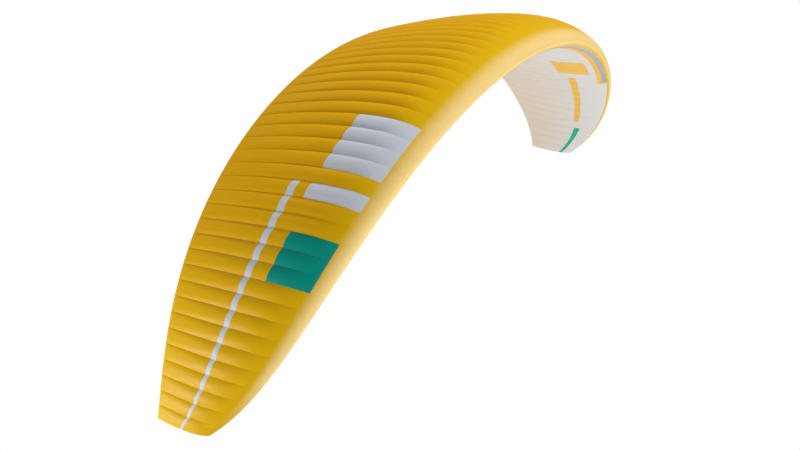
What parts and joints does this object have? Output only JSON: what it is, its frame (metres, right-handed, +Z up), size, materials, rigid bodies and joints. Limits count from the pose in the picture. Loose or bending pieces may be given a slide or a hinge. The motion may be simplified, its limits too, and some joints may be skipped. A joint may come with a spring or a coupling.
{
  "type": "paraglider wing",
  "caption": "Inflated ram-air paraglider canopy: a curved, tapered cloth wing with upper and lower skins, ribs and air intakes under the nose, without its lines.",
  "frame": {"origin": "underside of the centre rib at 0.3 of the chord, where the lines would pull", "axes": "+X along the span, +Y aft from the nose to the trailing edge, +Z up out of the upper skin"},
  "size_m": [9.1934, 2.5242, 3.3106],
  "materials": {
    "upper_cloth": "coated ripstop cloth, yellow, slight sheen",
    "lower_cloth": "coated ripstop cloth, warm white, slight sheen",
    "rib_cloth": "stiff coated cloth, white, matt"
  },
  "bodies": {
    "root": {"lower_skin_1": "lower_cloth", "lower_skin_2": "lower_cloth", "lower_skin_3": "lower_cloth", "lower_skin_4": "lower_cloth", "lower_skin_5": "lower_cloth", "lower_skin_6": "lower_cloth", "lower_skin_7": "lower_cloth", "lower_skin_8": "lower_cloth", "rib_00": "rib_cloth", "rib_02": "rib_cloth", "rib_04": "rib_cloth", "rib_06": "rib_cloth", "rib_08": "rib_cloth", "rib_10": "rib_cloth", "rib_12": "rib_cloth", "rib_14": "rib_cloth", "rib_16": "rib_cloth", "rib_18": "rib_cloth", "rib_20": "rib_cloth", "rib_22": "rib_cloth", "rib_24": "rib_cloth", "rib_26": "rib_cloth", "rib_28": "rib_cloth", "rib_30": "rib_cloth", "rib_32": "rib_cloth", "rib_34": "rib_cloth", "rib_36": "rib_cloth", "rib_38": "rib_cloth", "rib_40": "rib_cloth", "rib_42": "rib_cloth", "rib_44": "rib_cloth", "rib_46": "rib_cloth", "rib_48": "rib_cloth", "rib_50": "rib_cloth", "rib_52": "rib_cloth", "rib_54": "rib_cloth", "rib_56": "rib_cloth", "rib_58": "rib_cloth", "rib_60": "rib_cloth", "rib_62": "rib_cloth", "rib_64": "rib_cloth", "upper_skin_1": "upper_cloth", "upper_skin_2": "upper_cloth", "upper_skin_3": "upper_cloth", "upper_skin_4": "upper_cloth", "upper_skin_5": "upper_cloth", "upper_skin_6": "upper_cloth", "upper_skin_7": "upper_cloth", "upper_skin_8": "upper_cloth"}
  },
  "joints": []
}
